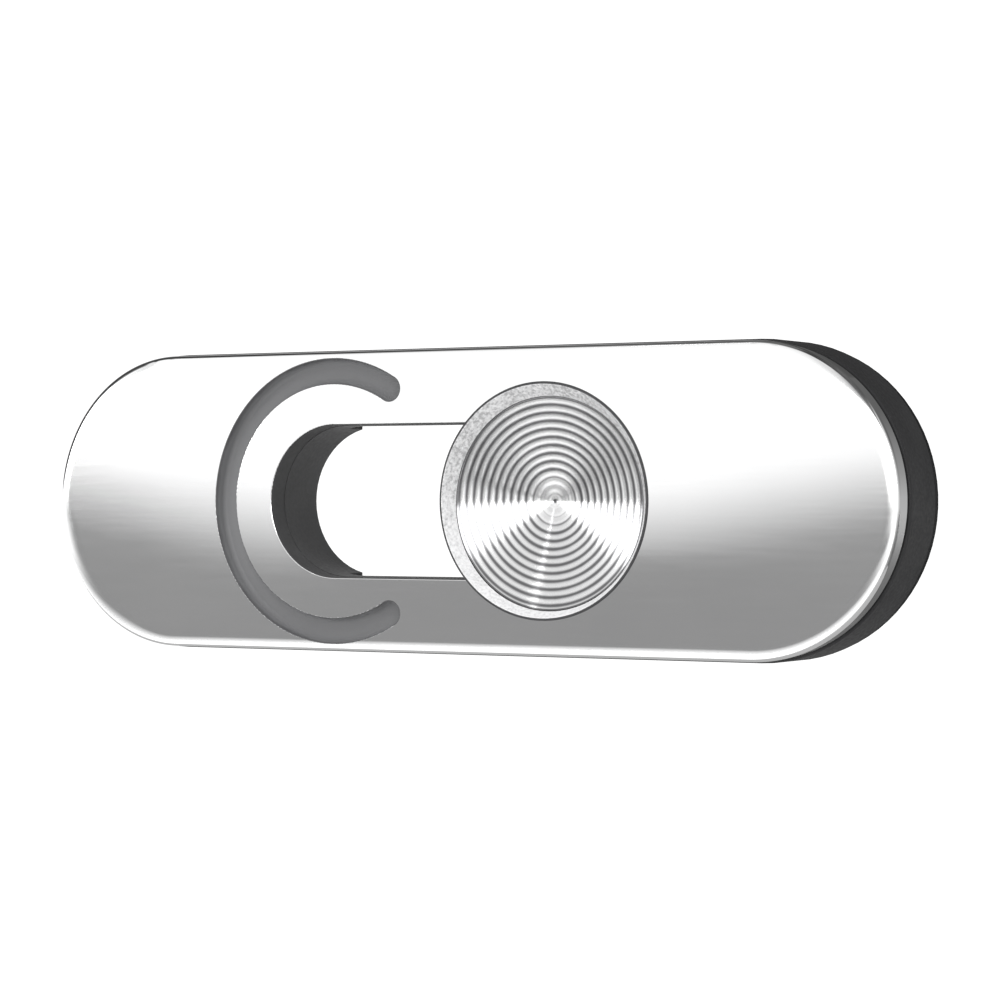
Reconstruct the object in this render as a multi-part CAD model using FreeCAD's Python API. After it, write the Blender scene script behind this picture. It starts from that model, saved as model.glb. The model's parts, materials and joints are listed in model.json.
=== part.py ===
import FreeCAD, Part
import math
import os

from FreeCAD import Vector

os.makedirs("parts", exist_ok=True)

# Sliding camera cover, millimetres.
# +X along the length (towards the open end), +Z up, the front faces -Y.
# Origin: centre of the adhesive back face, so the body lies at negative Y.

# ---------------------------------------------------------------- dimensions
# overall outline (stadium)
LENGTH = 39.00           # base outline, end to end
WIDTH = 12.32            # base outline, top to bottom
END_X = (LENGTH - WIDTH) / 2.0   # centre of each round end
PLATE_INSET = 0.12       # the plate stands this far inside the base outline
FILM_INSET = 0.28
PAD_INSET = 0.06

# stack, back to front (Y)
Y_BACK = 0.0
PAD_T = 0.35
BASE_T = 2.37
FILM_T = 0.15
PLATE_T = 0.78
Y_PAD = Y_BACK - PAD_T            # pad / base
Y_BASE = Y_PAD - BASE_T           # base / film
Y_FILM = Y_BASE - FILM_T          # film / plate
Y_FRONT = Y_FILM - PLATE_T        # front face of the plate

# slot through plate, film and base
SLOT_XL = -5.35          # centre of the lens end
SLOT_XR = 5.11           # centre of the open end
SLOT_R = 3.08            # half width in the base
PLATE_SLOT_R = 3.10
FILM_SLOT_R = 3.30

# plate edges and the open-ring recess round the lens end of the slot
PLATE_EDGE_R = 0.40
SLOT_EDGE_R = 0.06       # softened front lip of the slot
RING_R = 5.25            # mid radius
RING_W = 1.00            # width; the inner edge frames the knob when closed
RING_GAP_DEG = 59.0      # the ring is open this far each side of +X
RING_DEPTH = 0.50
RING_FLOOR_R = 0.20      # rounding along the bottom of the recess

# base edges and rear pocket for the crossbar
BASE_FRONT_R = 0.10
BASE_REAR_C = 0.08
POCKET_Z = 4.40
POCKET_FLOOR_Y = -1.42
POCKET_GAP = 0.10        # crossbar to pocket end, at either stop
POCKET_CORNER = 0.35
PAD_MARGIN = 0.28        # pad cut-out to slot and pocket

# slider
KNOB_X = 5.09            # at the open stop
TRAVEL = 10.42           # towards -X
BOSS_R = 3.02
BAR_X = 0.70             # half length of the crossbar along X
BAR_Z = 4.30             # half length of the crossbar along Z
BAR_FRONT_Y = -1.08
BAR_BACK_Y = -0.42
BAR_CORNER = 0.30
DRAG_X = 0.55
DRAG_Z0 = 3.16
DRAG_Z1 = 4.16
DRAG_T = 0.30

GLIDE_GAP = 0.02
GLIDE_T = 0.10
GLIDE_R0 = 3.10
GLIDE_R1 = 3.85
Y_KNOB = Y_FRONT - GLIDE_GAP - GLIDE_T   # underside of the knob

KNOB_R = 4.63
KNOB_T = 1.25
KNOB_FOOT_R = 3.98       # the side is undercut towards the plate
KNOB_EDGE = 0.06         # rounding of the rim's outer edge
LIP_R = 4.52             # inner edge of the flat rim
DISH_R = 4.06            # outer edge of the ringed dish
LIP_DROP = 0.80          # bevel from rim to dish
DISH_DEPTH = 0.52
DISH_NOSE = 0.50         # rounding of the cone's middle
RINGS = 14
RING_RIDGE = 0.012       # height of a turned ridge
HUB_R = 2.20
HUB_BACK_Y = -1.55
THREAD_R = 0.82
THREAD_END_Y = -2.66      # end of the straight thread wall
THREAD_TIP_Y = -2.90      # drill point

SCREW_R = 0.80
SCREW_HEAD_R = 1.45
SCREW_HEAD_Y = -0.47     # rear face of the head
SCREW_RIM = 0.10
SCREW_TIP_Y = -2.62
SCREW_HOLE_R = 0.90
RECESS_W = 0.34
RECESS_L = 1.50
RECESS_D = 0.40

Y_AXIS = Vector(0, 1, 0)


# ------------------------------------------------------------------- helpers
def prism(wire, y0, y1):
    """Closed wire drawn at y0, pushed to y1."""
    return Part.Face(wire).extrude(Vector(0, y1 - y0, 0))


def stadium(xa, xb, r, y0, y1):
    """Solid with two round ends of radius r centred at xa and xb."""
    a = Vector(xa, y0, -r)
    b = Vector(xb, y0, -r)
    c = Vector(xb, y0, r)
    d = Vector(xa, y0, r)
    edges = [
        Part.LineSegment(a, b).toShape(),
        Part.Arc(b, Vector(xb + r, y0, 0), c).toShape(),
        Part.LineSegment(c, d).toShape(),
        Part.Arc(d, Vector(xa - r, y0, 0), a).toShape(),
    ]
    return prism(Part.Wire(edges), y0, y1)


def round_box(x0, x1, z0, z1, r, y0, y1):
    """Block with its four Y edges rounded by r."""
    k = r * (1.0 - math.sqrt(0.5))
    p = lambda x, z: Vector(x, y0, z)
    edges = [
        Part.LineSegment(p(x0 + r, z0), p(x1 - r, z0)).toShape(),
        Part.Arc(p(x1 - r, z0), p(x1 - k, z0 + k), p(x1, z0 + r)).toShape(),
        Part.LineSegment(p(x1, z0 + r), p(x1, z1 - r)).toShape(),
        Part.Arc(p(x1, z1 - r), p(x1 - k, z1 - k), p(x1 - r, z1)).toShape(),
        Part.LineSegment(p(x1 - r, z1), p(x0 + r, z1)).toShape(),
        Part.Arc(p(x0 + r, z1), p(x0 + k, z1 - k), p(x0, z1 - r)).toShape(),
        Part.LineSegment(p(x0, z1 - r), p(x0, z0 + r)).toShape(),
        Part.Arc(p(x0, z0 + r), p(x0 + k, z0 + k), p(x0 + r, z0)).toShape(),
    ]
    return prism(Part.Wire(edges), y0, y1)


def rod(x, r, y0, y1):
    return Part.makeCylinder(r, y1 - y0, Vector(x, y0, 0), Y_AXIS)


def edges_at_y(shape, y, keep=None):
    """Edges that lie wholly in the plane Y = y."""
    out = []
    for e in shape.Edges:
        b = e.BoundBox
        if abs(b.YMin - y) < 1e-4 and abs(b.YMax - y) < 1e-4:
            if keep is None or keep(e):
                out.append(e)
    return out


def turned(points, x):
    """Solid of revolution about the Y line through x; points are (radius, y)."""
    pts = [Vector(x + r, y, 0) for r, y in points]
    face = Part.Face(Part.makePolygon(pts + [pts[0]]))
    return face.revolve(Vector(x, 0, 0), Y_AXIS, 360)


def write(shape, node):
    if len(shape.Solids) == 1 and shape.ShapeType != "Solid":
        shape = shape.Solids[0]
    assert shape.isValid(), node
    shape.exportStep("parts/%s.step" % node)
    print("%-16s solids %d  volume %9.3f  y %.3f .. %.3f" % (
        node, len(shape.Solids), shape.Volume, shape.BoundBox.YMin, shape.BoundBox.YMax))


# ---------------------------------------------------------------- face plate
def make_face_plate():
    r = WIDTH / 2.0 - PLATE_INSET
    plate = stadium(-END_X, END_X, r, Y_FRONT, Y_FILM)
    plate = plate.makeFillet(PLATE_EDGE_R, edges_at_y(plate, Y_FRONT))
    plate = plate.cut(stadium(SLOT_XL, SLOT_XR, PLATE_SLOT_R, Y_FRONT - 1, Y_FILM + 1))

    # open ring: outer arc, round end, inner arc, round end
    g = math.radians(RING_GAP_DEG)
    ro = RING_R + RING_W / 2.0
    ri = RING_R - RING_W / 2.0
    y0 = Y_FRONT - 0.5

    def at(rad, ang):
        return Vector(SLOT_XL + rad * math.cos(ang), y0, rad * math.sin(ang))

    def cap(ang, way):
        # outermost point of the round end, half a width past the end angle
        c = at(RING_R, ang)
        t = Vector(-math.sin(ang) * way, 0, math.cos(ang) * way)
        return c + t * (RING_W / 2.0)

    edges = [
        Part.Arc(at(ro, g), at(ro, math.pi), at(ro, -g)).toShape(),
        Part.Arc(at(ro, -g), cap(-g, 1.0), at(ri, -g)).toShape(),
        Part.Arc(at(ri, -g), at(ri, math.pi), at(ri, g)).toShape(),
        Part.Arc(at(ri, g), cap(g, -1.0), at(ro, g)).toShape(),
    ]
    cutter = prism(Part.Wire(edges), y0, Y_FRONT + RING_DEPTH)
    cutter = cutter.makeFillet(RING_FLOOR_R, edges_at_y(cutter, Y_FRONT + RING_DEPTH))
    plate = plate.cut(cutter)

    # the slot's front lip is softened
    def on_slot(e):
        b = e.BoundBox
        return max(abs(b.ZMin), abs(b.ZMax)) < PLATE_SLOT_R + 1e-3

    plate = plate.makeFillet(SLOT_EDGE_R, edges_at_y(plate, Y_FRONT, on_slot))
    return plate


# ----------------------------------------------------------------- bond film
def make_film():
    r = WIDTH / 2.0 - FILM_INSET
    film = stadium(-END_X, END_X, r, Y_FILM, Y_BASE)
    return film.cut(stadium(SLOT_XL, SLOT_XR, FILM_SLOT_R, Y_FILM - 1, Y_BASE + 1))


# ----------------------------------------------------------------- base body
POCKET_X0 = KNOB_X - TRAVEL - BAR_X - POCKET_GAP
POCKET_X1 = KNOB_X + BAR_X + POCKET_GAP


def make_base():
    r = WIDTH / 2.0
    base = stadium(-END_X, END_X, r, Y_BASE, Y_PAD)
    base = base.makeFillet(BASE_FRONT_R, edges_at_y(base, Y_BASE))
    base = base.makeChamfer(BASE_REAR_C, edges_at_y(base, Y_PAD))
    base = base.cut(stadium(SLOT_XL, SLOT_XR, SLOT_R, Y_BASE - 1, Y_PAD + 1))
    pocket = round_box(POCKET_X0, POCKET_X1, -POCKET_Z, POCKET_Z, POCKET_CORNER,
                       POCKET_FLOOR_Y, Y_PAD + 1)
    return base.cut(pocket)


# -------------------------------------------------------------- adhesive pad
def make_pad():
    r = WIDTH / 2.0 - PAD_INSET
    pad = stadium(-END_X, END_X, r, Y_PAD, Y_BACK)
    m = PAD_MARGIN
    hole = stadium(SLOT_XL, SLOT_XR, SLOT_R + m, Y_PAD - 1, Y_BACK + 1)
    hole = hole.fuse(round_box(POCKET_X0 - m, POCKET_X1 + m, -POCKET_Z - m, POCKET_Z + m,
                               POCKET_CORNER + m, Y_PAD - 1, Y_BACK + 1))
    return pad.cut(hole)


# -------------------------------------------------------------------- slider
def dish_y(rad):
    """Depth of the dish floor: a shallow cone with a rounded middle."""
    rim = Y_KNOB - KNOB_T
    full = math.hypot(DISH_R, DISH_NOSE)
    share = (full - math.hypot(rad, DISH_NOSE)) / (full - DISH_NOSE)
    return rim + LIP_DROP + DISH_DEPTH * share


def make_knob():
    rim = Y_KNOB - KNOB_T
    e = KNOB_EDGE
    pts = [(0.0, dish_y(0.0))]
    # turned rings: ridges and valleys on the dish
    pitch = DISH_R / RINGS
    for i in range(RINGS):
        r_ridge = (i + 0.5) * pitch
        r_valley = (i + 1.0) * pitch
        pts.append((r_ridge, dish_y(r_ridge) - RING_RIDGE))
        pts.append((r_valley, dish_y(r_valley)))
    # bevel up to the flat rim, rounded outer edge, undercut side
    pts.append((LIP_R, rim))
    pts.append((KNOB_R - e, rim))
    for a in (22.5, 45.0, 67.5, 90.0):
        t = math.radians(a)
        pts.append((KNOB_R - e + e * math.sin(t), rim + e - e * math.cos(t)))
    pts.append((KNOB_FOOT_R, Y_KNOB))
    # hub down into the carriage, with the screw's thread hole
    pts.append((HUB_R, Y_KNOB))
    pts.append((HUB_R, HUB_BACK_Y - 0.12))
    pts.append((HUB_R - 0.12, HUB_BACK_Y))
    pts.append((THREAD_R, HUB_BACK_Y))
    pts.append((THREAD_R, THREAD_END_Y))
    pts.append((0.0, THREAD_TIP_Y))
    return turned(pts, KNOB_X)


def make_glide():
    y1 = Y_FRONT - GLIDE_GAP
    y0 = y1 - GLIDE_T
    return rod(KNOB_X, GLIDE_R1, y0, y1).cut(rod(KNOB_X, GLIDE_R0, y0 - 1, y1 + 1))


def make_carriage():
    boss = rod(KNOB_X, BOSS_R, Y_KNOB + 0.02, BAR_BACK_Y)
    boss = boss.makeChamfer(0.10, edges_at_y(boss, BAR_BACK_Y))
    bar = round_box(KNOB_X - BAR_X, KNOB_X + BAR_X, -BAR_Z, BAR_Z, BAR_CORNER,
                    BAR_FRONT_Y, BAR_BACK_Y)
    body = boss.fuse(bar).removeSplitter()
    body = body.cut(rod(KNOB_X, HUB_R + 0.02, Y_KNOB - 1, HUB_BACK_Y))
    body = body.cut(rod(KNOB_X, SCREW_HOLE_R, HUB_BACK_Y - 1, BAR_BACK_Y + 1))
    # countersink for the screw head, with a short straight mouth
    head = SCREW_HEAD_R + 0.05
    sink = turned([
        (0.0, BAR_BACK_Y + 0.5), (head, BAR_BACK_Y + 0.5), (head, SCREW_HEAD_Y - SCREW_RIM),
        (SCREW_HOLE_R, SCREW_HEAD_Y - SCREW_RIM - (head - SCREW_HOLE_R)),
        (0.0, SCREW_HEAD_Y - SCREW_RIM - (head - SCREW_HOLE_R)),
    ], KNOB_X)
    return body.cut(sink)


def make_drag_pads():
    pads = []
    for s in (1.0, -1.0):
        z0, z1 = sorted((s * DRAG_Z0, s * DRAG_Z1))
        pads.append(round_box(KNOB_X - DRAG_X, KNOB_X + DRAG_X, z0, z1, 0.20,
                              BAR_FRONT_Y - DRAG_T, BAR_FRONT_Y))
    return Part.Compound(pads)


def make_screw():
    y_cone = SCREW_HEAD_Y - SCREW_RIM
    screw = turned([
        (0.0, SCREW_HEAD_Y), (SCREW_HEAD_R, SCREW_HEAD_Y), (SCREW_HEAD_R, y_cone),
        (SCREW_R, y_cone - (SCREW_HEAD_R - SCREW_R)),
        (SCREW_R, SCREW_TIP_Y + 0.15), (SCREW_R - 0.15, SCREW_TIP_Y), (0.0, SCREW_TIP_Y),
    ], KNOB_X)
    # cross recess
    h = RECESS_L / 2.0
    w = RECESS_W / 2.0
    for dx, dz in ((h, w), (w, h)):
        screw = screw.cut(Part.makeBox(2 * dx, RECESS_D + 1.0, 2 * dz,
                                       Vector(KNOB_X - dx, SCREW_HEAD_Y - RECESS_D, -dz)))
    return screw


write(make_face_plate(), "face_plate")
write(make_film(), "plate_bond_film")
write(make_base(), "base_body")
write(make_pad(), "adhesive_pad")
write(make_knob(), "knob_cap")
write(make_glide(), "glide_washer")
write(make_carriage(), "slide_carriage")
write(make_drag_pads(), "drag_pads")
write(make_screw(), "knob_screw")
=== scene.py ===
import json
import math

import bpy
import numpy as np
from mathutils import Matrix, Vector
from mathutils.geometry import delaunay_2d_cdt

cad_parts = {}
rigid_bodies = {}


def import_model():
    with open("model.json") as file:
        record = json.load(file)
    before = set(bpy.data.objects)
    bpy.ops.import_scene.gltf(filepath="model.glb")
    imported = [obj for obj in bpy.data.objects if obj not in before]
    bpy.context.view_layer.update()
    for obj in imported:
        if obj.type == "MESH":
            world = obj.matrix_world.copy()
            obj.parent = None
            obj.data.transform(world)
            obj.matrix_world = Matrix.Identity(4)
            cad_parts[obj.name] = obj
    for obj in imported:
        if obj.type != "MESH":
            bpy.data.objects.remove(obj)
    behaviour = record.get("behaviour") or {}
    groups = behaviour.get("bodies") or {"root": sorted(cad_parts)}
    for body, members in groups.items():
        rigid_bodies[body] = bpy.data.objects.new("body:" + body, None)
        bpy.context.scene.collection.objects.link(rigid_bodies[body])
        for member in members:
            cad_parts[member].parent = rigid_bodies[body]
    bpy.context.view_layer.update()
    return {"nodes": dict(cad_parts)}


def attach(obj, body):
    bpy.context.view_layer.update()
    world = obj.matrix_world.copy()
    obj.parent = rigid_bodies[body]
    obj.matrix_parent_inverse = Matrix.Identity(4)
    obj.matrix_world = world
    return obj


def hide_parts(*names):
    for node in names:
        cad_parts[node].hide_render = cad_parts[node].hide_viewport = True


for old in list(bpy.data.objects):
    bpy.data.objects.remove(old, do_unlink=True)

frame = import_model()
scene = bpy.context.scene
MM = 0.001

# ------------------------------------------------------------------ dimensions
# millimetres, in the part's own frame: +X along the length, +Z up, front at -Y
END_X = 13.34
BASE_R = 6.16
PLATE_R = 6.08
Y_FRONT, Y_FILM, Y_BASE, Y_PAD = -3.65, -2.87, -2.72, -0.35
SLOT_XL, SLOT_XR = -5.35, 5.11
SLOT_R, PLATE_SLOT_R = 3.08, 3.10
EDGE_LEAD, EDGE_R, LIP_R0 = 0.50, 0.15, 0.06
RING_X, RING_R, RING_HW, RING_GAP, RING_DEPTH = -5.46, 5.28, 0.49, math.radians(59.0), 0.50

KNOB_X = 5.09
Y_KNOB = -3.77
KNOB_R, KNOB_T, KNOB_FOOT_R, KNOB_EDGE = 4.63, 1.25, 3.98, 0.05
LIP_R, DISH_R, LIP_DROP, DISH_DEPTH, DISH_NOSE = 4.52, 4.06, 0.58, 0.52, 0.50
BORE_LOW = 0.10        # the bore around the ringed dish sits this much low
RINGS, RIDGE = 13, 0.005
HUB_R, HUB_BACK_Y = 2.20, -1.55


# ------------------------------------------------------------- node materials
class Mat:
    """A node material with short helpers for building its graph."""

    def __init__(self, name):
        self.mat = bpy.data.materials.new(name)
        self.mat.use_nodes = True
        self.nt = self.mat.node_tree
        self.bsdf = self.nt.nodes["Principled BSDF"]

    def node(self, kind, **props):
        n = self.nt.nodes.new(kind)
        for k, v in props.items():
            setattr(n, k, v)
        return n

    def link(self, a, b):
        self.nt.links.new(a, b)

    def set(self, **sockets):
        for k, v in sockets.items():
            self.bsdf.inputs[k.replace("_", " ")].default_value = v
        return self

    def coords(self):
        return self.node("ShaderNodeTexCoord").outputs["Object"]

    def mapped(self, scale):
        m = self.node("ShaderNodeMapping")
        m.inputs["Scale"].default_value = scale
        self.link(self.coords(), m.inputs["Vector"])
        return m.outputs["Vector"]

    def noise(self, scale, detail=4.0, rough=0.55, vec=None, dist=0.0):
        n = self.node("ShaderNodeTexNoise")
        n.inputs["Scale"].default_value = scale
        n.inputs["Detail"].default_value = detail
        n.inputs["Roughness"].default_value = rough
        n.inputs["Distortion"].default_value = dist
        self.link(vec if vec is not None else self.coords(), n.inputs["Vector"])
        return n.outputs["Fac"]

    def voronoi(self, scale, vec=None):
        n = self.node("ShaderNodeTexVoronoi")
        n.inputs["Scale"].default_value = scale
        self.link(vec if vec is not None else self.coords(), n.inputs["Vector"])
        return n.outputs["Distance"]

    def math(self, op, a, b=None, clamp=False):
        n = self.node("ShaderNodeMath", operation=op, use_clamp=clamp)
        for i, v in enumerate((a, b)):
            if v is None:
                continue
            if isinstance(v, (int, float)):
                n.inputs[i].default_value = v
            else:
                self.link(v, n.inputs[i])
        return n.outputs[0]

    def ramp(self, fac, stops, interp="LINEAR"):
        n = self.node("ShaderNodeValToRGB")
        n.color_ramp.interpolation = interp
        els = n.color_ramp.elements
        while len(els) < len(stops):
            els.new(0.5)
        for el, (pos, col) in zip(els, stops):
            el.position = pos
            el.color = (*col, 1.0) if len(col) == 3 else col
        self.link(fac, n.inputs["Fac"])
        return n.outputs["Color"]

    def spread(self, fac, lo, hi, to_lo, to_hi):
        n = self.node("ShaderNodeMapRange")
        for k, v in (("From Min", lo), ("From Max", hi), ("To Min", to_lo), ("To Max", to_hi)):
            n.inputs[k].default_value = v
        self.link(fac, n.inputs["Value"])
        return n.outputs["Result"]

    def bump(self, height, strength, distance, under=None):
        n = self.node("ShaderNodeBump")
        n.inputs["Strength"].default_value = strength
        n.inputs["Distance"].default_value = distance
        self.link(height, n.inputs["Height"])
        if under is not None:
            self.link(under, n.inputs["Normal"])
        self.link(n.outputs["Normal"], self.bsdf.inputs["Normal"])
        return n.outputs["Normal"]

    def color(self, out):
        self.link(out, self.bsdf.inputs["Base Color"])

    def rough(self, out):
        self.link(out, self.bsdf.inputs["Roughness"])


def grey(v):
    return (v, v, v)


def plate_metal():
    """Bright polished plating: a mirror softened by fine polishing haze."""
    m = Mat("plate_metal").set(Metallic=1.0)
    long_grain = m.noise(900.0, 3.0, 0.6, m.mapped((0.35, 1.0, 6.0)))
    cloud = m.noise(260.0, 3.0, 0.5)
    m.color(m.ramp(cloud, [(0.30, (0.900, 0.902, 0.905)), (0.70, (0.930, 0.930, 0.932))]))
    m.rough(m.spread(long_grain, 0.30, 0.70, 0.050, 0.066))
    return m.mat


def groove_paint():
    """Matte grey paint in the open-ring recess, painted darker towards its lip and walls as painted shade."""
    m = Mat("groove_paint").set(Metallic=0.0, Specular_IOR_Level=0.30)
    speck = m.noise(5200.0, 3.0, 0.6)
    cloud = m.noise(420.0, 3.0, 0.5)
    inset = m.node("ShaderNodeAttribute", attribute_name="inset").outputs["Fac"]
    wall_shade_and_cloud = m.math("ADD", inset, m.math("MULTIPLY", m.math("SUBTRACT", cloud, 0.5), 0.25))
    # painted shade: the paint darkens from the groove's floor towards its lip along the inset value, standing in for
    # shade on the walls
    m.color(m.ramp(wall_shade_and_cloud, [(0.05, (0.085, 0.085, 0.088)), (0.16, (0.165, 0.166, 0.170)), (0.75, (0.166, 0.167, 0.171))]))
    m.rough(m.spread(speck, 0.3, 0.7, 0.42, 0.58))
    m.bump(speck, 0.20, 0.00003)
    return m.mat


def slot_black():
    """Blackened wall of the slot, so that no glare reaches the lens."""
    m = Mat("slot_black").set(Metallic=0.0, Specular_IOR_Level=0.25)
    grain = m.noise(6000.0, 3.0, 0.6)
    cloud = m.noise(500.0, 3.0, 0.5)
    m.color(m.ramp(cloud, [(0.30, (0.044, 0.044, 0.045)), (0.72, (0.060, 0.060, 0.061))]))
    m.rough(m.spread(grain, 0.3, 0.7, 0.50, 0.66))
    m.bump(grain, 0.15, 0.00002)
    return m.mat


def base_plastic():
    """Charcoal moulded plastic with a fine spark-eroded texture."""
    m = Mat("base_plastic").set(Metallic=0.0, Specular_IOR_Level=0.26)
    grain = m.noise(7000.0, 2.0, 0.5)
    cells = m.voronoi(5200.0)
    cloud = m.noise(330.0, 4.0, 0.55)
    # painted light: the slot's own wall is painted a shade paler than the outside, standing in for light falling on it
    sep = m.node("ShaderNodeSeparateXYZ")
    m.link(m.coords(), sep.inputs[0])
    mid, half = 0.5 * (SLOT_XL + SLOT_XR) * MM, 0.5 * (SLOT_XR - SLOT_XL) * MM
    along = m.math("MAXIMUM", m.math("SUBTRACT", m.math("ABSOLUTE", m.math("SUBTRACT", sep.outputs["X"], mid)), half), 0.0)
    away = m.math("SQRT", m.math("ADD", m.math("POWER", along, 2.0), m.math("POWER", sep.outputs["Z"], 2.0)))
    inner = m.spread(away, (SLOT_R + 0.02) * MM, (SLOT_R + 0.05) * MM, 0.5, 0.0)
    tone = m.math("ADD", m.math("MULTIPLY", cloud, 0.5, True), inner)
    m.color(m.ramp(tone, [(0.15, (0.019, 0.019, 0.020)), (0.36, (0.028, 0.028, 0.029)), (0.64, (0.050, 0.050, 0.051)), (0.86, (0.066, 0.066, 0.067))]))
    m.rough(m.spread(grain, 0.3, 0.7, 0.44, 0.60))
    m.bump(m.math("ADD", grain, cells), 0.09, 0.00002)
    return m.mat


def foam_black():
    """Black adhesive foam: closed cells under a faintly shiny glue skin."""
    m = Mat("adhesive_foam").set(Metallic=0.0, Specular_IOR_Level=0.12)
    cells = m.voronoi(4200.0)
    cloud = m.noise(600.0, 4.0, 0.6)
    m.color(m.ramp(cloud, [(0.30, (0.007, 0.007, 0.008)), (0.72, (0.014, 0.014, 0.015))]))
    m.rough(m.spread(cloud, 0.3, 0.7, 0.40, 0.62))
    m.bump(cells, 0.35, 0.00005)
    return m.mat


def film_black():
    m = Mat("bond_film").set(Metallic=0.0, Specular_IOR_Level=0.30)
    cloud = m.noise(1500.0, 3.0, 0.6)
    m.color(m.ramp(cloud, [(0.30, (0.008, 0.008, 0.008)), (0.72, (0.016, 0.016, 0.017))]))
    m.rough(m.spread(cloud, 0.3, 0.7, 0.50, 0.68))
    m.bump(cloud, 0.15, 0.00003)
    return m.mat


def carriage_plastic():
    """Black acetal: slippery, a little glossy, with faint flow marks."""
    m = Mat("carriage_plastic").set(Metallic=0.0, Specular_IOR_Level=0.50)
    flow = m.noise(260.0, 4.0, 0.55, m.mapped((1.0, 1.0, 0.4)), 1.2)
    fine = m.noise(6000.0, 2.0, 0.5)
    m.color(m.ramp(flow, [(0.30, (0.022, 0.022, 0.024)), (0.72, (0.036, 0.036, 0.039))]))
    m.rough(m.spread(flow, 0.3, 0.7, 0.26, 0.38))
    m.bump(fine, 0.10, 0.00002)
    return m.mat


def glide_plastic():
    m = Mat("glide_film").set(Metallic=0.0, Specular_IOR_Level=0.45)
    fine = m.noise(4000.0, 3.0, 0.6)
    m.color(m.ramp(fine, [(0.30, (0.030, 0.030, 0.031)), (0.72, (0.048, 0.048, 0.050))]))
    m.rough(m.spread(fine, 0.3, 0.7, 0.34, 0.48))
    m.bump(fine, 0.10, 0.00002)
    return m.mat


def drag_rubber():
    m = Mat("drag_rubber").set(Metallic=0.0, Specular_IOR_Level=0.30)
    fine = m.noise(5000.0, 4.0, 0.6)
    m.color(m.ramp(fine, [(0.30, (0.075, 0.075, 0.077)), (0.72, (0.115, 0.115, 0.118))]))
    m.rough(m.spread(fine, 0.3, 0.7, 0.66, 0.82))
    m.bump(fine, 0.30, 0.00003)
    return m.mat


def screw_steel():
    m = Mat("screw_steel").set(Metallic=1.0)
    grain = m.noise(3600.0, 4.0, 0.6)
    cloud = m.noise(900.0, 3.0, 0.5)
    m.color(m.ramp(cloud, [(0.30, (0.50, 0.50, 0.51)), (0.72, (0.64, 0.64, 0.65))]))
    m.rough(m.spread(grain, 0.3, 0.7, 0.22, 0.36))
    m.bump(grain, 0.10, 0.00002)
    return m.mat


def radius_about_knob(m, low=0.0):
    """Distance from the knob's axis, or from a line this much below it, in metres."""
    shift = m.node("ShaderNodeVectorMath", operation="SUBTRACT")
    shift.inputs[1].default_value = (KNOB_X * MM, 0.0, -low * MM)
    m.link(m.coords(), shift.inputs[0])
    sep = m.node("ShaderNodeSeparateXYZ")
    m.link(shift.outputs[0], sep.inputs[0])
    sq = m.math("ADD", m.math("POWER", sep.outputs["X"], 2.0), m.math("POWER", sep.outputs["Z"], 2.0))
    return m.math("SQRT", sq)


def knob_rings():
    """Turned aluminium: bright crests, and valleys painted darker as painted shade in place of the rings' shaded
    reflections; fine tool marks between.
    """
    m = Mat("knob_rings").set(Metallic=1.0, Anisotropic=0.96, Anisotropic_Rotation=0.25)
    r = radius_about_knob(m)
    pitch = DISH_R * MM / RINGS
    phase = m.math("FRACT", m.math("DIVIDE", r, pitch))
    # valleys lie at whole steps, crests half way between; the valleys get the painted shade
    away = m.math("ABSOLUTE", m.math("SUBTRACT", phase, 0.5))
    ring_shade_jitter = m.noise(900.0, 3.0, 0.6)
    edge = m.math("ADD", away, m.math("MULTIPLY", m.math("SUBTRACT", ring_shade_jitter, 0.5), 0.14))
    # the painted ring shade fades out into a bright middle, with a small centre mark
    calm = m.spread(r, 0.00050, 0.00120, -0.34, 0.0)
    edge = m.math("ADD", edge, calm)
    # painted shade: a dark ring where the dish meets the foot of the wall
    bore = DISH_R + BORE_LOW
    foot = m.spread(radius_about_knob(m, BORE_LOW), (bore - 0.105) * MM, (bore - 0.065) * MM, 0.0, 0.43)
    centre_mark_and_foot_shade = m.math("ADD", m.spread(r, 0.00006, 0.00011, 0.5, 0.0), foot)
    edge = m.math("MAXIMUM", edge, centre_mark_and_foot_shade)
    tone = m.ramp(edge, [(0.12, (0.88, 0.88, 0.885)), (0.27, (0.62, 0.62, 0.625)), (0.36, (0.30, 0.30, 0.305)), (0.45, (0.17, 0.17, 0.175))])
    m.color(tone)
    fine = m.math("SINE", m.math("MULTIPLY", r, 2.0 * math.pi / 0.000036))
    haze = m.noise(700.0, 3.0, 0.5)
    m.rough(m.spread(haze, 0.3, 0.7, 0.105, 0.130))
    tang = m.node("ShaderNodeTangent", direction_type="RADIAL", axis="Y")
    m.link(tang.outputs["Tangent"], m.bsdf.inputs["Tangent"])
    m.bump(fine, 0.012, 0.00001)
    return m.mat


def knob_rim():
    """Lip and inner wall of the knob: pale, finely bead-blasted metal."""
    m = Mat("knob_rim").set(Metallic=0.25, Specular_IOR_Level=0.5)
    speck = m.noise(7800.0, 2.0, 0.6)
    cloud = m.noise(800.0, 3.0, 0.5)
    pits_and_painted_light = m.math("ADD", speck, m.math("MULTIPLY", m.math("SUBTRACT", cloud, 0.5), 0.25))
    # painted light: the wall is painted paler towards the bottom, where it faces up towards the key light
    sep = m.node("ShaderNodeSeparateXYZ")
    m.link(m.coords(), sep.inputs[0])
    pits_and_painted_light = m.math("ADD", pits_and_painted_light, m.spread(sep.outputs["Z"], -0.0014, 0.0006, 0.20, -0.02))
    m.color(m.ramp(pits_and_painted_light, [(0.34, (0.42, 0.42, 0.425)), (0.50, (0.66, 0.66, 0.665)), (0.66, (0.80, 0.80, 0.805)), (0.80, (0.90, 0.90, 0.905))]))
    m.rough(m.spread(speck, 0.3, 0.7, 0.58, 0.42))
    m.bump(speck, 0.35, 0.00003)
    return m.mat


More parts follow.
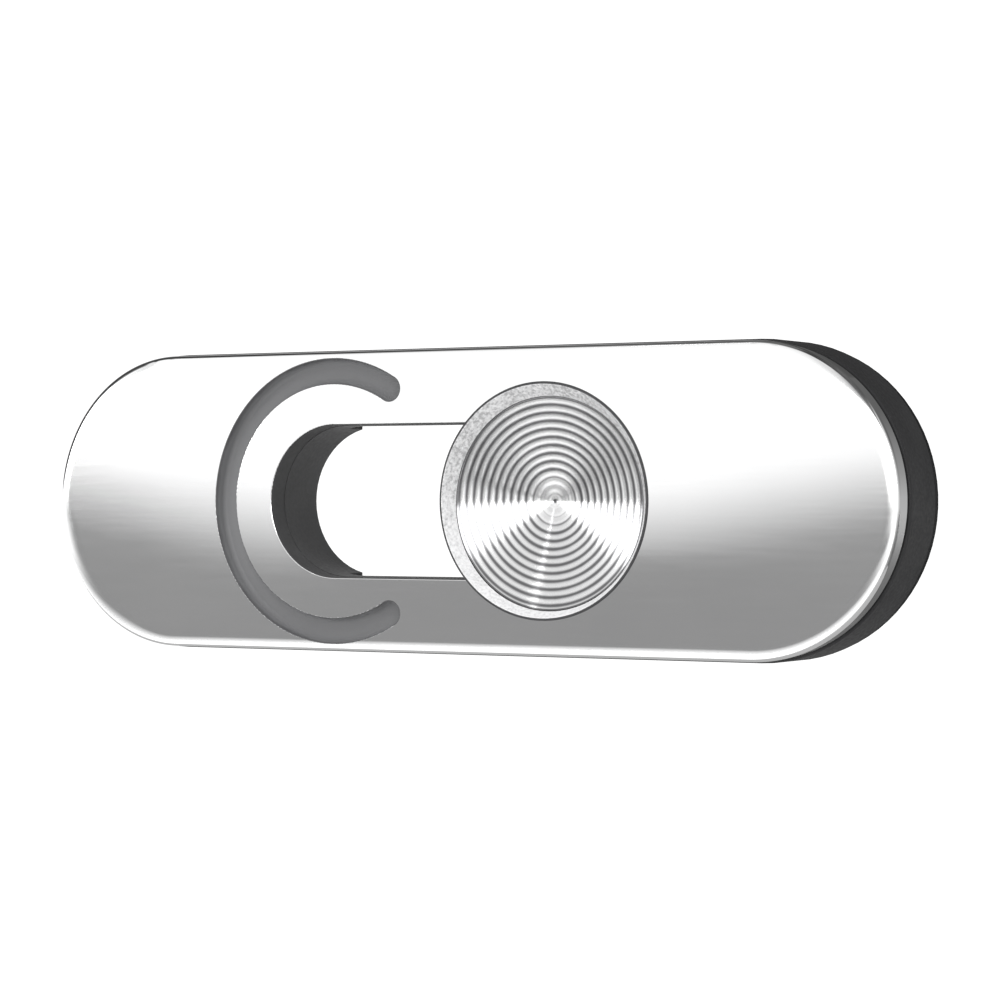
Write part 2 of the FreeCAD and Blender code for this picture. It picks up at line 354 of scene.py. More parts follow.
def knob_edge():
    """Near-black edge, side and underside of the knob; on the rim's edge the black is painted shade that draws the
    knob's dark outline.
    """
    m = Mat("knob_edge").set(Metallic=0.0, Specular_IOR_Level=0.22)
    speck = m.noise(5200.0, 3.0, 0.6)
    cloud = m.noise(700.0, 3.0, 0.5)
    m.color(m.ramp(cloud, [(0.30, (0.038, 0.038, 0.040)), (0.72, (0.056, 0.056, 0.058))]))
    m.rough(m.spread(speck, 0.3, 0.7, 0.46, 0.60))
    m.bump(speck, 0.12, 0.00002)
    return m.mat


# ------------------------------------------------------------------- geometry
def new_object(name, verts, faces, mats, face_mat=None, normals=None, smooth=True):
    """A mesh object from millimetre vertices, with its own normals if given."""
    mesh = bpy.data.meshes.new(name)
    mesh.from_pydata([tuple(float(c) * MM for c in v) for v in verts], [], [tuple(int(i) for i in f) for f in faces])
    for mat in mats:
        mesh.materials.append(mat)
    mesh.polygons.foreach_set("use_smooth", [smooth] * len(mesh.polygons))
    if face_mat is not None:
        mesh.polygons.foreach_set("material_index", [int(i) for i in face_mat])
    mesh.update()
    if normals is not None:
        mesh.normals_split_custom_set_from_vertices([tuple(float(c) for c in n) for n in normals])
    obj = bpy.data.objects.new(name, mesh)
    scene.collection.objects.link(obj)
    return obj


def stadium_loop(xa, xb, r, arc=72, straight=12):
    """Points round a stadium outline, counter-clockwise in (x, z)."""
    pts = []
    for i in range(arc):
        a = -math.pi / 2 + math.pi * i / arc
        pts.append((xb + r * math.cos(a), r * math.sin(a)))
    for i in range(straight):
        pts.append((xb + (xa - xb) * i / straight, r))
    for i in range(arc):
        a = math.pi / 2 + math.pi * i / arc
        pts.append((xa + r * math.cos(a), r * math.sin(a)))
    for i in range(straight):
        pts.append((xa + (xb - xa) * i / straight, -r))
    return pts


def stadium_away(p, xa, xb):
    """Distance from the stadium's middle line, and the direction away from it."""
    x = np.clip(p[:, 0], xa, xb)
    v = np.stack([p[:, 0] - x, p[:, 1]], 1)
    d = np.linalg.norm(v, axis=1)
    return d, v / np.maximum(d, 1e-9)[:, None]


def ring_loop(o, n_out=150, n_in=120, n_cap=18):
    """Outline of the open ring, moved inwards by o."""
    h = RING_HW - o
    c = np.array([RING_X, 0.0])
    g = RING_GAP
    pts = []
    for i in range(n_out):
        a = g + (2 * math.pi - 2 * g) * i / n_out
        pts.append(c + (RING_R + h) * np.array([math.cos(a), math.sin(a)]))
    er, et = np.array([math.cos(g), -math.sin(g)]), np.array([math.sin(g), math.cos(g)])
    e = c + RING_R * er
    for i in range(n_cap):
        s = math.pi * i / n_cap
        pts.append(e + h * (er * math.cos(s) + et * math.sin(s)))
    for i in range(n_in):
        a = 2 * math.pi - g - (2 * math.pi - 2 * g) * i / n_in
        pts.append(c + (RING_R - h) * np.array([math.cos(a), math.sin(a)]))
    er, et = np.array([math.cos(g), math.sin(g)]), np.array([math.sin(g), -math.cos(g)])
    e = c + RING_R * er
    for i in range(n_cap):
        s = math.pi * i / n_cap
        pts.append(e + h * (-er * math.cos(s) + et * math.sin(s)))
    return [tuple(q) for q in pts]


def ring_inside(p):
    """How far inside the open ring's outline each point is, and the direction inwards."""
    v = p - np.array([RING_X, 0.0])
    rho = np.linalg.norm(v, axis=1)
    ang = np.arctan2(v[:, 1], v[:, 0])
    on_arc = np.abs(ang) >= RING_GAP
    rad = v / np.maximum(rho, 1e-9)[:, None]
    d = np.abs(rho - RING_R)
    inward = -np.sign(rho - RING_R)[:, None] * rad
    end = RING_R * np.stack([np.full(len(p), math.cos(RING_GAP)), np.sign(v[:, 1] + 1e-12) * math.sin(RING_GAP)], 1)
    w = v - end
    dw = np.linalg.norm(w, axis=1)
    d = np.where(on_arc, d, dw)
    inward = np.where(on_arc[:, None], inward, -w / np.maximum(dw, 1e-9)[:, None])
    return RING_HW - d, inward


def groove_table():
    """Section of the recess: offset inwards, depth and slope, every join tangent."""
    steep = math.radians(80.0)
    r1, r2 = 0.05, 0.20
    o, d = -0.05, 0.0
    rows = []
    for i in range(7):
        t = steep * i / 6
        rows.append((o + r1 * math.sin(t), d + r1 * (1 - math.cos(t)), t))
    o, d, _ = rows[-1]
    run = (RING_DEPTH - r1 * (1 - math.cos(steep)) - r2 * (1 - math.cos(steep))) / math.sin(steep)
    o, d = o + run * math.cos(steep), d + run * math.sin(steep)
    for i in range(9):
        t = steep * (1 - i / 8)
        rows.append((o + r2 * (math.sin(steep) - math.sin(t)), d + r2 * (math.cos(t) - math.cos(steep)), t))
    return np.array(rows)


LEAD_TURN = math.radians(8.0)


def edge_table():
    """Section of the plate's edge: distance from the side, depth and slope angle.

    A long, barely sloping lead-in that rolls over into a small radius."""
    turn = LEAD_TURN
    width = EDGE_LEAD + EDGE_R * (1 - math.sin(turn))
    rows = []
    for i in range(15):
        x = EDGE_LEAD * i / 14
        rise = math.tan(turn) * (x / EDGE_LEAD) ** 2
        rows.append((width - x, rise * x / 3.0, math.atan(rise)))
    low = rows[-1][1]
    for i in range(1, 13):
        t = turn + (math.pi / 2 - turn) * i / 12
        rows.append((EDGE_R * (1 - math.sin(t)), low + EDGE_R * (math.cos(turn) - math.cos(t)), t))
    return np.array(rows)


GROOVE = groove_table()
EDGE = edge_table()
EDGE_DEPTH, LEAD_DEPTH = EDGE[-1, 1], EDGE[14, 1]
LIP_ANGLES = [math.radians(a) for a in (0, 18, 36, 54, 72, 90)]


def plate_front(p):
    """Depth behind the front plane, normal and recess offset at points (x, z)."""
    d_out, away = stadium_away(p, -END_X, END_X)
    t = PLATE_R - d_out
    # the lead-in reaches further in at the far end's lower half
    far = np.clip((-away[:, 0] - 0.05) / 0.55, 0.0, 1.0)
    down = np.clip((0.05 - away[:, 1]) / 0.30, 0.0, 1.0)
    reach = 1 + 0.6 * far * far * (3 - 2 * far) * down * down * (3 - 2 * down)
    t = np.where(t > EDGE[14, 0], EDGE[14, 0] + (t - EDGE[14, 0]) / reach, t)
    e = np.interp(t, EDGE[::-1, 0], EDGE[::-1, 1])
    a_e = np.interp(t, EDGE[::-1, 0], EDGE[::-1, 2])
    # the lead-in is almost flat along the top
    start = np.where(away[:, 0] < 0.0, 0.96, 0.74)
    up = np.clip((away[:, 1] - start) / (0.997 - start), 0.0, 1.0)
    flat = 1 - 0.78 * up * up * (3 - 2 * up)
    roll = np.maximum(e - LEAD_DEPTH, 0.0)
    e = flat * reach * np.minimum(e, LEAD_DEPTH) + roll * (EDGE_DEPTH - flat * reach * LEAD_DEPTH) / (EDGE_DEPTH - LEAD_DEPTH)
    a_e = np.where(a_e <= LEAD_TURN + 1e-6, np.arctan(flat * np.tan(np.minimum(a_e, LEAD_TURN))), a_e)

    d_slot, from_slot = stadium_away(p, SLOT_XL, SLOT_XR)
    q = d_slot - PLATE_SLOT_R
    s = np.clip((LIP_R0 - q) / LIP_R0, 0.0, 1.0)
    a_s = np.arcsin(s)
    lip = LIP_R0 * (1 - np.cos(a_s))

    o, inward = ring_inside(p)
    g = np.interp(o, GROOVE[:, 0], GROOVE[:, 1])
    a_g = np.interp(o, GROOVE[:, 0], GROOVE[:, 2])

    depth = e + g * (1 - e / RING_DEPTH) + lip
    cap = math.radians(89.0)
    slope = (
        np.tan(np.minimum(a_e, cap))[:, None] * away * (1 - g / RING_DEPTH)[:, None]
        + np.tan(np.minimum(a_g, cap))[:, None] * inward * (1 - e / RING_DEPTH)[:, None]
        - np.tan(np.minimum(a_s, cap))[:, None] * from_slot
    )
    n = np.stack([slope[:, 0], -np.ones(len(p)), slope[:, 1]], 1)
    flat_out = a_e > math.radians(89.5)
    n[flat_out] = np.stack([away[flat_out, 0], np.zeros(flat_out.sum()), away[flat_out, 1]], 1)
    flat_in = a_s > math.radians(89.5)
    n[flat_in] = np.stack([-from_slot[flat_in, 0], np.zeros(flat_in.sum()), -from_slot[flat_in, 1]], 1)
    return depth, n / np.linalg.norm(n, axis=1)[:, None], o


def in_polygon(p, poly):
    poly = np.asarray(poly)
    a, b = poly, np.roll(poly, -1, axis=0)
    inside = np.zeros(len(p), bool)
    for (x0, z0), (x1, z1) in zip(a, b):
        if z0 == z1:
            continue
        hit = (p[:, 1] < z0) != (p[:, 1] < z1)
        inside ^= hit & (p[:, 0] < (x1 - x0) * (p[:, 1] - z0) / (z1 - z0) + x0)
    return inside


def fill_loops(loops, keep):
    """Triangles over the plane with every loop as an edge; keep(centres) picks them."""
    coords, edges = [], []
    for loop in loops:
        k = len(coords)
        coords += [Vector(q) for q in loop]
        edges += [(k + i, k + (i + 1) % len(loop)) for i in range(len(loop))]
    verts, _, faces, _, _, _ = delaunay_2d_cdt(coords, edges, [], 0, 1e-6)
    p = np.array([(v.x, v.y) for v in verts])
    tri = np.array([f for f in faces if len(f) == 3])
    tri = tri[keep(p[tri].mean(1))]
    # corners run from +X towards +Z, so that the faces look along -Y
    a, b, c = p[tri[:, 0]], p[tri[:, 1]], p[tri[:, 2]]
    area = (b[:, 0] - a[:, 0]) * (c[:, 1] - a[:, 1]) - (b[:, 1] - a[:, 1]) * (c[:, 0] - a[:, 0])
    tri = tri[np.abs(area) > 1e-10]
    area = area[np.abs(area) > 1e-10]
    tri[area < 0] = tri[area < 0][:, [0, 2, 1]]
    return p, tri


class Builder:
    """Collects vertices, faces, normals and material numbers of one piece."""

    def __init__(self):
        self.v, self.f, self.n, self.m = [], [], [], []

    def add(self, verts, faces, normals, mat=0):
        k = len(self.v)
        self.v += [tuple(q) for q in verts]
        self.n += [tuple(q) for q in normals]
        self.f += [tuple(k + i for i in f) for f in faces]
        self.m += list(mat) if hasattr(mat, "__len__") else [mat] * len(faces)

    def strip(self, loops, normals, mat=0, flip=False):
        """Quads between closed loops of equal length, one after another."""
        n = len(loops[0])
        verts = [q for loop in loops for q in loop]
        norms = [q for loop in normals for q in loop]
        faces = []
        for j in range(len(loops) - 1):
            for i in range(n):
                a, b = j * n + i, j * n + (i + 1) % n
                quad = (a, b, b + n, a + n)
                faces.append(quad[::-1] if flip else quad)
        self.add(verts, faces, norms, mat)

    def build(self, name, mats, weld=1e-5):
        """Welds equal corners, keeps each corner's own normal."""
        v = np.array(self.v)
        n = np.array(self.n)
        key = {}
        index = np.zeros(len(v), int)
        out_v, out_n = [], []
        for i, (p, q) in enumerate(zip(np.round(v / weld).astype(np.int64), np.round(n * 50).astype(np.int64))):
            k = tuple(p)
            if k not in key:
                key[k] = len(out_v)
                out_v.append(v[i])
                out_n.append(n[i])
            index[i] = key[k]
        faces, mat, loop_n = [], [], []
        for f, m in zip(self.f, self.m):
            g = [index[i] for i in f]
            keep = [j for j in range(len(g)) if g[j] != g[j - 1]]
            if len(keep) < 3:
                continue
            faces.append([g[j] for j in keep])
            mat.append(m)
            loop_n += [tuple(float(c) for c in n[f[j]]) for j in keep]
        obj = new_object(name, out_v, faces, mats, mat)
        obj.data.normals_split_custom_set(loop_n)
        return obj


def flat_loop(loop, y):
    return [(x, y, z) for x, z in loop]


def out_normals(loop, xa, xb, tilt=0.0, sign=1.0):
    """Normals along a stadium loop: sideways, leaning towards +Y by tilt."""
    _, away = stadium_away(np.array(loop), xa, xb)
    return [(sign * a[0] * math.cos(tilt), math.sin(tilt), sign * a[1] * math.cos(tilt)) for a in away]


def make_plate():
    outer = [stadium_loop(-END_X, END_X, PLATE_R - q, 96, 24) for q in [0.96, 0.88, 0.80, 0.72] + list(EDGE[:, 0])]
    lips = [stadium_loop(SLOT_XL, SLOT_XR, PLATE_SLOT_R + LIP_R0 * (1 - math.sin(a)), 72, 16) for a in LIP_ANGLES]
    rings = [ring_loop(o) for o in GROOVE[:, 0]] + [ring_loop(0.42)]
    slot = lips[-1]
    p, tri = fill_loops(outer + lips + rings, lambda c: ~in_polygon(c, slot))
    depth, normal, o = plate_front(p)
    verts = np.stack([p[:, 0], Y_FRONT + depth, p[:, 1]], 1)
    centre = p[tri].mean(1)
    mid = ring_inside(centre)[0]
    lip = stadium_away(centre, SLOT_XL, SLOT_XR)[0] - PLATE_SLOT_R
    b = Builder()
    b.add(verts, tri, normal, [1 if q > -0.045 else 2 if w < 0.5 * LIP_R0 else 0 for q, w in zip(mid, lip)])

    # outer side, softened rear edge, back
    rear = 0.06
    loop = outer[-1]
    loops = [flat_loop(loop, Y_FRONT + EDGE_DEPTH), flat_loop(loop, Y_FILM - rear)]
    norms = [out_normals(loop, -END_X, END_X)] * 2
    for a in (30, 60, 90):
        t = math.radians(a)
        q = stadium_loop(-END_X, END_X, PLATE_R - rear * (1 - math.cos(t)), 96, 24)
        loops.append(flat_loop(q, Y_FILM - rear + rear * math.sin(t)))
        norms.append(out_normals(q, -END_X, END_X, t))
    b.strip(loops, norms, 0, True)
    back_outer = stadium_loop(-END_X, END_X, PLATE_R - rear, 96, 24)
    # slot wall, carried back over the film's edge
    b.strip([flat_loop(slot, Y_FRONT + LIP_R0), flat_loop(slot, Y_BASE)],
            [out_normals(slot, SLOT_XL, SLOT_XR, 0.0, -1.0)] * 2, 2)
    p, tri = fill_loops([back_outer, slot], lambda c: ~in_polygon(c, slot))
    b.add(np.stack([p[:, 0], np.full(len(p), Y_FILM), p[:, 1]], 1), tri[:, ::-1], [(0, 1, 0)] * len(p))
    obj = b.build("plate_shell", [plate_metal(), groove_paint(), slot_black()])
    co = np.array([v.co for v in obj.data.vertices]) / MM
    # inset runs from 0 at the groove's lip to 1 on its floor; the groove paint darkens towards the lip with it, as
    # painted shade on the walls
    inset = np.clip((ring_inside(co[:, [0, 2]])[0] + 0.02) / 0.34, 0.0, 1.0)
    att = obj.data.attributes.new("inset", "FLOAT", "POINT")
    att.data.foreach_set("value", inset.astype(np.float32))
    return obj


def dish_y(r):
    full = math.hypot(DISH_R, DISH_NOSE)
    return Y_KNOB - KNOB_T + LIP_DROP + DISH_DEPTH * (full - math.hypot(r, DISH_NOSE)) / (full - DISH_NOSE)


def knob_profile(bore):
    """Section of the knob (radius, y, material) where its bore has this radius."""
    rim = Y_KNOB - KNOB_T
    pitch = DISH_R / RINGS
    # inner wall between a soft foot and a soft shoulder
    y0 = dish_y(bore)
    wall = math.atan2(y0 - rim, LIP_R - bore)
    foot, crown = 0.06, 0.04
    tf, tc = foot * math.tan(wall / 2), crown * math.tan(wall / 2)
    prof = []
    steps = RINGS * 12
    still, span = 3.6, DISH_R - 0.03
    for i in range(steps + 1):
        r = span * i / steps
        if r > still:
            r = still + (r - still) * (bore - tf - still) / (span - still)
        # rounded crest half way between two valleys
        h = 0.5 - 0.5 * math.cos(2 * math.pi * (r / pitch))
        prof.append((r, dish_y(r) - RIDGE * h, 0))
    for i in range(1, 8):
        t = wall * i / 7
        prof.append((bore - tf + foot * math.sin(t), y0 - foot * (1 - math.cos(t)), 0))
    # the shoulder's last two rows, the rim top and its edge take the near-black paint, painted shade for the knob's
    # dark outline
    for i in range(8):
        t = wall * (1 - i / 7)
        prof.append((LIP_R + tc - crown * math.sin(t), rim + crown * (1 - math.cos(t)), 1 if i < 6 else 2))
    edge = KNOB_EDGE
    for i in range(13):
        t = math.radians(90.0 * i / 12)
        prof.append((KNOB_R - edge + edge * math.sin(t), rim + edge - edge * math.cos(t), 2))
    side = math.atan2(KNOB_R - KNOB_FOOT_R, KNOB_T - edge)
    for i in range(1, 4):
        t = side * i / 3
        prof.append((KNOB_R - edge + edge * math.cos(t), rim + edge + edge * math.sin(t), 2))
    prof += [(KNOB_FOOT_R + 0.03, Y_KNOB - 0.05, 2), (KNOB_FOOT_R + 0.008, Y_KNOB - 0.012, 2), (KNOB_FOOT_R - 0.01, Y_KNOB, 2),
             (HUB_R, Y_KNOB, 2), (HUB_R, HUB_BACK_Y - 0.12, 2), (HUB_R - 0.12, HUB_BACK_Y, 2), (0.84, HUB_BACK_Y, 2),
             (0.82, HUB_BACK_Y - 0.02, 2), (0.82, -2.66, 2), (0.0, -2.90, 2)]
    return prof


def make_knob():
    """The section spun about the knob's axis, with its round bore set a little low."""
    seg = 256
    turn = [2 * math.pi * j / seg for j in range(seg)]
    around = [knob_profile(math.sqrt((DISH_R + BORE_LOW) ** 2 - (BORE_LOW * math.cos(a)) ** 2) - BORE_LOW * math.sin(a)) for a in turn]
    prof = around[0]
    verts, faces, mats = [], [], []
    rows = []
    for i in range(len(prof)):
        if prof[i][0] < 1e-9:
            rows.append([len(verts)] * seg)
            verts.append((KNOB_X, prof[i][1], 0.0))
            continue
        rows.append(list(range(len(verts), len(verts) + seg)))
        for a, section in zip(turn, around):
            r, y, _ = section[i]
            verts.append((KNOB_X + r * math.cos(a), y, r * math.sin(a)))
    for i in range(len(prof) - 1):
        for j in range(seg):
            q = [rows[i][j], rows[i][(j + 1) % seg], rows[i + 1][(j + 1) % seg], rows[i + 1][j]]
            q = [x for n, x in enumerate(q) if x != q[n - 1]]
            faces.append(q)
            mats.append(prof[i + 1][2])
    obj = new_object("knob_turned", verts, faces, [knob_rings(), knob_rim(), knob_edge()], mats)
    obj.data.set_sharp_from_angle(angle=math.radians(50.0))
    return obj


# --------------------------------------------------------------------- pieces
plate = make_plate()
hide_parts("face_plate")
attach(plate, "cover")

knob = make_knob()
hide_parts("knob_cap")
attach(knob, "slider")
knob.visible_glossy = False

for node, mat in (
    ("plate_bond_film", film_black()),
    ("base_body", base_plastic()),
    ("adhesive_pad", foam_black()),
    ("glide_washer", glide_plastic()),
    ("slide_carriage", carriage_plastic()),
    ("drag_pads", drag_rubber()),
    ("knob_screw", screw_steel()),
):
    for s in frame["nodes"][node].material_slots:
        s.material = mat

# ---------------------------------------------------------------------- stage
def stage_plane(name, mat, verts, faces):
    mesh = bpy.data.meshes.new(name)
    mesh.from_pydata([tuple(c * MM for c in v) for v in verts], [], faces)
    mesh.materials.append(mat)
    obj = bpy.data.objects.new(name, mesh)
    scene.collection.objects.link(obj)
    return obj


def floor_mat():
    m = Mat("floor_pale").set(Roughness=0.8, Specular_IOR_Level=0.1)
    cloud = m.noise(6.0, 3.0, 0.5)
    m.color(m.ramp(cloud, [(0.30, grey(0.90)), (0.72, grey(0.92))]))
    return m.mat


FLOOR_Z = -40.0
FLOOR_R = 400.0
disc = [(FLOOR_R * math.cos(2 * math.pi * i / 96), FLOOR_R * math.sin(2 * math.pi * i / 96), FLOOR_Z) for i in range(96)]
floor = stage_plane("floor", floor_mat(), disc, [tuple(range(96))])


def card_mat(name, level):
    """Evenly glowing card that fades out where its own fade value falls to zero."""
    mat = bpy.data.materials.new(name)
    mat.use_nodes = True
    nt = mat.node_tree
    nt.nodes.clear()
    out = nt.nodes.new("ShaderNodeOutputMaterial")
    em = nt.nodes.new("ShaderNodeEmission")
    clear = nt.nodes.new("ShaderNodeBsdfTransparent")
    mix = nt.nodes.new("ShaderNodeMixShader")
    att = nt.nodes.new("ShaderNodeAttribute")
    att.attribute_name = "fade"
    em.inputs["Color"].default_value = (1.0, 1.0, 1.0, 1.0)
    em.inputs["Strength"].default_value = level
    nt.links.new(att.outputs["Fac"], mix.inputs["Fac"])
    nt.links.new(clear.outputs[0], mix.inputs[1])
    nt.links.new(em.outputs[0], mix.inputs[2])
    nt.links.new(mix.outputs[0], out.inputs["Surface"])
    return mat


CARD_R = 520.0


def card(name, level, az0, az1, rows, steps=96, radius=CARD_R):
    """Curved card round the part from azimuth az0 to az1 (degrees, 0 in front).

    rows holds (height as a number or a function of azimuth, fade) from top to bottom."""
    verts, fade = [], []
    for height, f in rows:
        for i in range(steps + 1):
            az = az0 + (az1 - az0) * i / steps
            t = math.radians(az)
            z = height(az) if callable(height) else height
            verts.append((radius * math.sin(t), -radius * math.cos(t), z * radius / CARD_R))
            fade.append(f(az) if callable(f) else f)
    n = steps + 1
    faces = [(k * n + i, k * n + i + 1, (k + 1) * n + i + 1, (k + 1) * n + i) for k in range(len(rows) - 1) for i in range(steps)]
    obj = stage_plane(name, card_mat(name, level), verts, faces)
    obj.data.attributes.new("fade", "FLOAT", "POINT").data.foreach_set("value", fade)
    obj.visible_camera = False
    obj.visible_diffuse = False
    obj.visible_shadow = False
    return obj


def tan_mm(el):
    return CARD_R * math.tan(math.radians(el))


MIRROR_AZ = -30.6      # where the camera's view goes after the polished plate


def ramp_between(x, a, b):
    t = min(max((x - a) / (b - a), 0.0), 1.0)
    return t * t * (3.0 - 2.0 * t)


# a grey horizon below eye level that polished metal reflects; its upper edge
# rises towards both ends of the plate's mirrored view and sinks again beyond them
def horizon(az):
    right, left = az + 26.2, -35.7 - az
    rise = 0.8 + 2.1 * (right + math.hypot(right, 2.2)) / 2 + 2.9 * (left + math.hypot(left, 2.0)) / 2
    return min(rise, 12.5) - 9.0 * ramp_between(az, -40.5, -52.0) - 6.0 * ramp_between(az, -19.0, -4.0)


def across(az):
    return ramp_between(az, -51.0, -40.5) * (1.0 - ramp_between(az, -21.0, -10.0))


card("horizon_card", 0.300, -52.0, -8.0, [
    (horizon, 0.0),
    (lambda az: horizon(az) - 17.0, across),
    (tan_mm(-7.0), across),
], 192)


# its lower part comes close over the floor and pales downwards
def close(level):
    return lambda az: level * ramp_between(az, -63.0, -47.0) * (1.0 - ramp_between(az, -14.0, 8.0))


NEAR_R = 92.0
lower = [(-7.0, 0.0), (-11.5, 0.95), (-13.2, 0.84), (-16.1, 0.60), (-20.8, 0.28), (-29.7, 0.10), (-39.0, 0.05)]
card("horizon_low", 0.300, -80.0, 8.0, [(z * CARD_R / NEAR_R, close(f)) for z, f in lower], 96, NEAR_R)


def slope(k, cap=90.0):
    """Height that grows with the angle from the mirrored view."""
    return lambda az: tan_mm(min(k * abs(az - MIRROR_AZ), cap))


# soft boxes to both sides of the mirrored view, which read as sectors on turned metal
box_r = lambda az: ramp_between(az, -20.5, -16.0)
card("softbox_right", 7.0, -20.5, 16.0, [
    (slope(0.54), 0.0), (slope(0.39), box_r), (slope(0.06), box_r), (slope(0.02), 0.0)], 48, 500.0)
box_l = lambda az: ramp_between(az, -54.0, -48.0) * (1.0 - ramp_between(az, -38.5, -36.0))
low_l = lambda az: tan_mm(max(0.045 * abs(az - MIRROR_AZ), 2.0 * ramp_between(az, -43.0, -41.0)))
card("softbox_left", 7.0, -54.0, -36.0, [
    (slope(0.68), 0.0), (slope(0.50), box_l), (low_l, box_l), (lambda az: low_l(az) - 2.5, 0.0)], 66, 500.0)
# a small grey flag close to the knob, low on its mirrored left
dim = lambda az: ramp_between(az, -38.0, -33.0) * (1.0 - ramp_between(az, -3.0, 2.0))
card("flag_knob", 0.30, -38.0, 2.0,[(z * CARD_R / 74.0, f) for z, f in ((-2.9, 0.0), (-3.7, dim), (-5.2, dim), (-6.6, 0.0))], 32, 74.0)
# a pale grey card above eye level, which the lower half of the knob reflects
pale = lambda az: ramp_between(az, -43.5, -39.5) * (1.0 - ramp_between(az, -18.0, -10.0))
card("sky_card", 0.80, -50.0, -10.0, [(tan_mm(29.0), 0.0), (tan_mm(25.0), pale), (tan_mm(9.0), pale), (tan_mm(5.0), 0.0)], 48, 512.0)
# the same horizon on the far side of the front, for other views of the plate
front = lambda level: (lambda az: level * ramp_between(az, 22.0, 40.0) * (1.0 - ramp_between(az, 90.0, 110.0)))
card("horizon_front", 0.42, 22.0, 110.0, [(z * CARD_R / NEAR_R, front(f)) for z, f in ((-5.0, 0.0), (-11.0, 0.75), (-39.0, 0.85))], 48, NEAR_R)
# narrow strip high up, a thin streak on the turned metal
card("strip_light", 5.0, -27.1, -26.7, [(tan_mm(30.0), 0.0), (tan_mm(26.0), 1.0), (tan_mm(9.0), 1.0), (tan_mm(7.0), 0.0)], 8, 495.0)


# a black flag behind and to the left, which draws the metal's far upper edges
def climb(k):
    return lambda az: tan_mm(min(k * (-38.0 - az), 54.0 + 8.0 * k))


def back(level):
    return lambda az: level * ramp_between(az, -46.0, -58.0)


card("flag_back", 0.01, -176.0, -46.0, [
    (climb(2.4), back(0.90)), (climb(1.2), back(0.88)), (climb(0.68), back(0.82)), (climb(0.29), back(0.60)),
    (climb(0.14), back(0.47)), (climb(0.05), back(0.15)), (climb(0.0), 0.0)], 96)
# one overhead, which draws the upper edges
over = lambda level: (lambda az: level * ramp_between(az, -110.0, -86.0) * (1.0 - ramp_between(az, 0.0, 24.0)))
card("flag_over", 0.02, -110.0, 24.0, [
    (tan_mm(76.0), 0.0), (tan_mm(70.0), over(0.88)), (tan_mm(40.0), over(0.88)), (tan_mm(32.0), over(0.60)), (tan_mm(22.0), 0.0)], 72, 480.0)
# a grey flag close behind and to the right, which draws the near end's edge
near = lambda level: (lambda az: level * ramp_between(az, 20.0, 95.0) * (1.0 - ramp_between(az, 200.0, 212.0)))
card("flag_side", 0.05, 20.0, 212.0, [
    (tan_mm(62.0), 0.0), (tan_mm(46.0), near(0.93)), (tan_mm(24.0), near(0.93)), (tan_mm(8.0), near(0.76)), (tan_mm(1.0), near(0.64)),
    (tan_mm(-4.0), near(0.62)), (tan_mm(-12.0), near(0.72)), (tan_mm(-27.5), near(0.80))], 96, 75.0)


# one close above and to the left, which draws the far end's upper corner
left = lambda level: (lambda az: level * ramp_between(az, -43.0, -46.5))
brow = lambda rise: (lambda az: (float(np.interp(-az, (48.0, 49.6, 51.8, 53.6, 55.3, 56.7, 57.5, 59.0), (17.5, 16.2, 14.2, 11.8, 8.8, 5.6, 3.2, 1.6))) + rise) * CARD_R / 75.0)
card("flag_left", 0.05, -100.0, -43.0, [(brow(80.0), left(0.97)), (brow(30.0), left(0.98)), (brow(6.0), left(0.985)), (brow(3.0), left(0.95)), (brow(0.0), 0.0)], 57, 75.0)


# one close above and to the right, which shades the near end's upper corner
def under(az):
    return 7.5 + 70.0 * ramp_between(az, 12.0, 85.0)


corner = lambda level: (lambda az: level * ramp_between(az, -7.0, 3.0) * (1.0 - ramp_between(az, 196.0, 212.0)))
CORNER_R = 75.0
card("flag_corner", 0.05, -7.0, 212.0, [(lambda az, h=h: h(az) * CARD_R / CORNER_R, corner(f)) for h, f in (
    (lambda az: 2600.0, 0.90), (lambda az: 220.0, 0.92), (lambda az: max(under(az) + 26.0, 60.0), 0.92), (lambda az: under(az) + 12.0, 0.84),
    (lambda az: under(az) + 5.5, 0.52), (under, 0.0))], 96, CORNER_R)
lid = [(96.0 * math.sin(math.radians(7.5 * i)), -96.0 * math.cos(math.radians(7.5 * i)), 300.0) for i in range(48)]
cap = stage_plane("flag_cap", card_mat("flag_cap", 0.05), lid, [tuple(range(48))])
cap.data.attributes.new("fade", "FLOAT", "POINT").data.foreach_set("value", [0.9] * 48)
cap.visible_camera = cap.visible_diffuse = cap.visible_shadow = False


# a grey patch on the floor under the part, which the plate shows when it is seen from above
def patch(radius, az):
    ahead = ramp_between(az, -62.0, -48.0) * (1.0 - ramp_between(az, -18.0, -4.0))
    return 0.9 * (1.0 - ramp_between(radius, 60.0 - 20.0 * ahead, 240.0 - 176.0 * ahead))


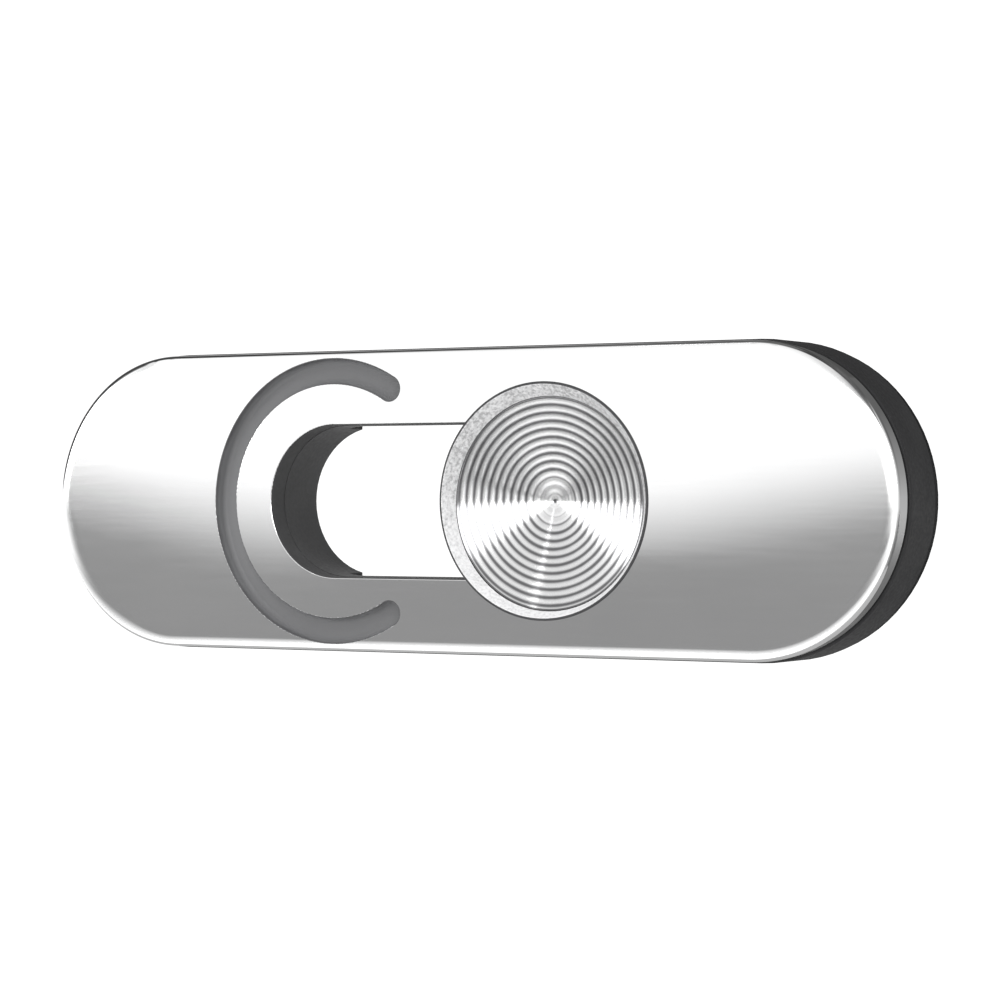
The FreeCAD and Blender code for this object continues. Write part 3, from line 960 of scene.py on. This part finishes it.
rims = [4.0, 20.0, 40.0, 46.0, 52.0, 58.0, 64.0, 72.0, 80.0, 95.0, 110.0, 130.0, 150.0, 175.0, 200.0, 240.0]
turns = [-180.0 + 5.0 * i for i in range(72)]
spots = [(k * math.sin(math.radians(t)), -k * math.cos(math.radians(t)), FLOOR_Z + 0.5) for k in rims for t in turns]
quads = [(k * 72 + i, k * 72 + (i + 1) % 72, (k + 1) * 72 + (i + 1) % 72, (k + 1) * 72 + i) for k in range(len(rims) - 1) for i in range(72)]
shade = stage_plane("floor_patch", card_mat("floor_patch", 0.40), spots, quads + [tuple(range(72))])
shade.data.attributes.new("fade", "FLOAT", "POINT").data.foreach_set("value", [patch(k, t) for k in rims for t in turns])
shade.visible_camera = shade.visible_diffuse = shade.visible_shadow = False

# --------------------------------------------------------------------- lights
world = bpy.data.worlds.new("studio")
scene.world = world
world.use_nodes = True
bg = world.node_tree.nodes["Background"]
bg.inputs["Color"].default_value = (1.0, 1.0, 1.0, 1.0)
bg.inputs["Strength"].default_value = 1.16

# soft key from above and in front, kept out of mirror reflections
key = bpy.data.lights.new("key_soft", "AREA")
key.shape = "DISK"
key.size = 0.36
key.energy = 1.6
key_obj = bpy.data.objects.new("key_soft", key)
scene.collection.objects.link(key_obj)
key_obj.location = (0.0, -0.26, 0.44)
key_obj.rotation_mode = "QUATERNION"
key_obj.rotation_quaternion = (-key_obj.location).to_track_quat("-Z", "Y")
key_obj.visible_glossy = False

# --------------------------------------------------------------------- camera
cam_data = bpy.data.cameras.new("camera")
cam = bpy.data.objects.new("camera", cam_data)
scene.collection.objects.link(cam)
THETA = math.radians(30.3)
cam.location = (0.064936, -0.110564, 0.00002)
look = Vector((-math.sin(THETA), math.cos(THETA), 0.0))
cam.rotation_mode = "QUATERNION"
cam.rotation_quaternion = look.to_track_quat("-Z", "Y")
cam_data.sensor_width = 36.0
cam_data.lens = 113.03
cam_data.clip_start = 0.005
cam_data.clip_end = 10.0
scene.camera = cam

scene.view_settings.view_transform = "Standard"
scene.view_settings.look = "None"
